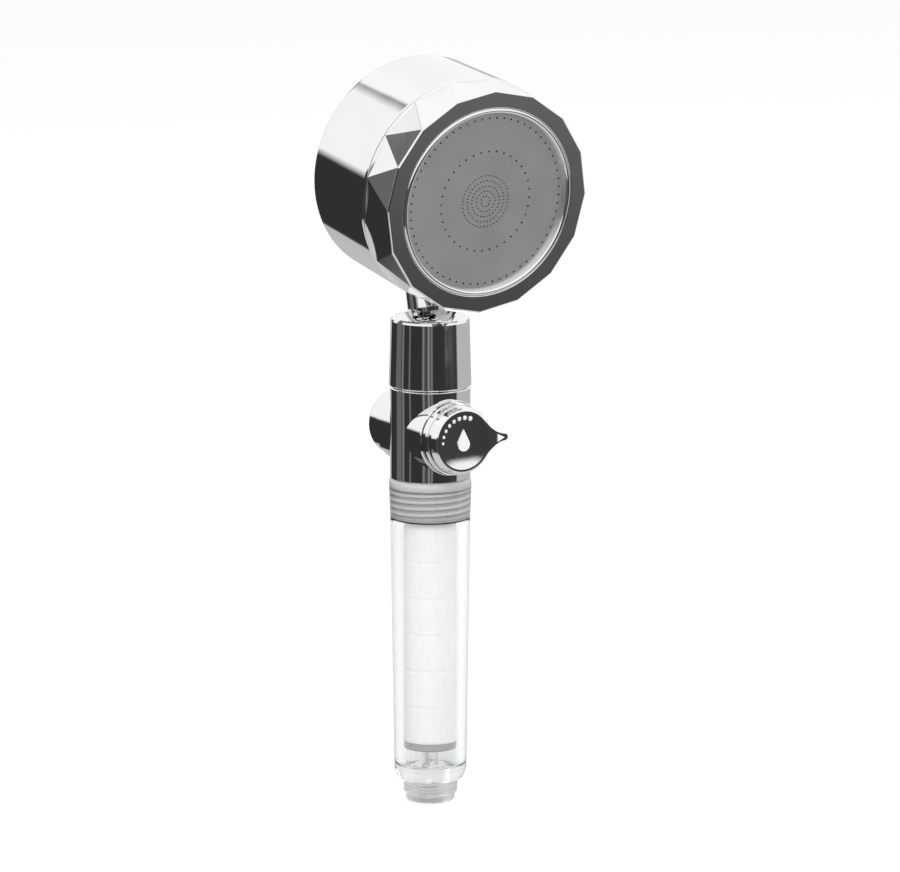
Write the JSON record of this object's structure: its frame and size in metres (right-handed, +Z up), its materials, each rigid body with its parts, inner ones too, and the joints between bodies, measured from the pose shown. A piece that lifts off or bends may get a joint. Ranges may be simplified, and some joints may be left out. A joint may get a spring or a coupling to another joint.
{
  "type": "handheld shower head",
  "caption": "Handheld shower head: clear filter handle, chrome valve with flow knob and stop button, ball-jointed round head with faceted bezel, steel spray plate and a rear turbine fan.",
  "frame": {"origin": "centre of the hose thread end face, at the foot of the handle", "axes": "+Z up along the handle, -Y towards the spray face and the flow knob, +Y towards the stop button, +X towards the spray selector"},
  "size_m": [0.0926, 0.0738, 0.2903],
  "materials": {
    "chrome": "polished chrome plating",
    "dark_chrome": "dark polished plating",
    "clear_plastic": "clear moulded polycarbonate",
    "frosted_plastic": "translucent",
    "filter_fibre": "melt-blown fibre, matt",
    "grey_plastic": "moulded, slightly translucent",
    "dark_plastic": "moulded",
    "white_plastic": "moulded",
    "rubber": "matt",
    "spray_steel": "fine satin",
    "steel": "drawn",
    "brass": "turned"
  },
  "bodies": {
    "handle": {"inlet_strainer": "steel", "handle_tube": "clear_plastic", "filter_foot": "clear_plastic", "filter_end_ring": "grey_plastic", "filter_cartridge": "filter_fibre", "filter_top_cap": "white_plastic", "filter_oring": "rubber", "thread_coupling": "grey_plastic", "coupling_oring": "rubber", "valve_body": "chrome", "valve_sleeve": "white_plastic", "plunger_guide": "white_plastic", "guide_oring": "rubber", "button_spring": "steel", "collar": "chrome", "lower_ball_seat": "white_plastic", "ball_seal": "rubber"},
    "flow_knob": {"flow_knob": "chrome", "flow_spool": "white_plastic", "spool_orings": "rubber", "spool_clip": "steel"},
    "stop_button": {"stop_button": "chrome", "stop_plunger": "white_plastic", "plunger_oring": "rubber"},
    "swivel_seat": {"upper_ball_seat": "white_plastic"},
    "ball": {"ball": "chrome"},
    "head": {"neck_stem": "chrome", "neck_oring": "rubber", "rear_housing": "chrome", "faceted_bezel": "chrome", "rear_rim": "chrome", "rear_window": "clear_plastic", "window_gasket": "rubber", "turbine_chamber": "dark_plastic", "fan_axle": "steel", "water_chamber": "dark_plastic", "chamber_oring": "rubber", "zone_plate": "dark_plastic", "plate_gasket": "rubber", "bead_ring": "chrome", "spray_plate": "spray_steel"},
    "fan": {"fan_blades": "chrome", "fan_hub_cap": "frosted_plastic", "fan_bush": "brass"},
    "selector": {"mode_slider": "dark_chrome", "selector_ring": "dark_plastic", "diverter_disc": "white_plastic"}
  },
  "joints": [
    {"name": "knob_turn", "type": "hinge", "parent": "handle", "child": "flow_knob", "pos_m": [0, 0, 0.1455], "axis": [0, -1, 0], "range_deg": [-90, 90]},
    {"name": "button_press", "type": "slide", "parent": "handle", "child": "stop_button", "axis": [0, -1, 0], "range_m": [0, 0.0035], "stiffness_N_per_m": 400, "springref_m": -0.004, "deforming": ["button_spring"]},
    {"name": "head_swivel", "type": "hinge", "parent": "handle", "child": "swivel_seat", "pos_m": [0, 0, 0.1815], "axis": [0, 0, 1], "continuous": true},
    {"name": "head_tilt", "type": "hinge", "parent": "swivel_seat", "child": "ball", "pos_m": [0, 0, 0.1815], "axis": [1, 0, 0], "range_deg": [-6, 33]},
    {"name": "head_spin", "type": "hinge", "parent": "ball", "child": "head", "pos_m": [0, 0, 0.1815], "axis": [0, 0.2334, 0.9724], "continuous": true},
    {"name": "fan_spin", "type": "hinge", "parent": "head", "child": "fan", "pos_m": [0, -0.0249, 0.2424], "axis": [0, -0.9912, -0.1323], "continuous": true},
    {"name": "selector_turn", "type": "hinge", "parent": "head", "child": "selector", "pos_m": [0, -0.0249, 0.2424], "axis": [0, -0.9912, -0.1323], "range_deg": [-6.5, 6.5]}
  ]
}
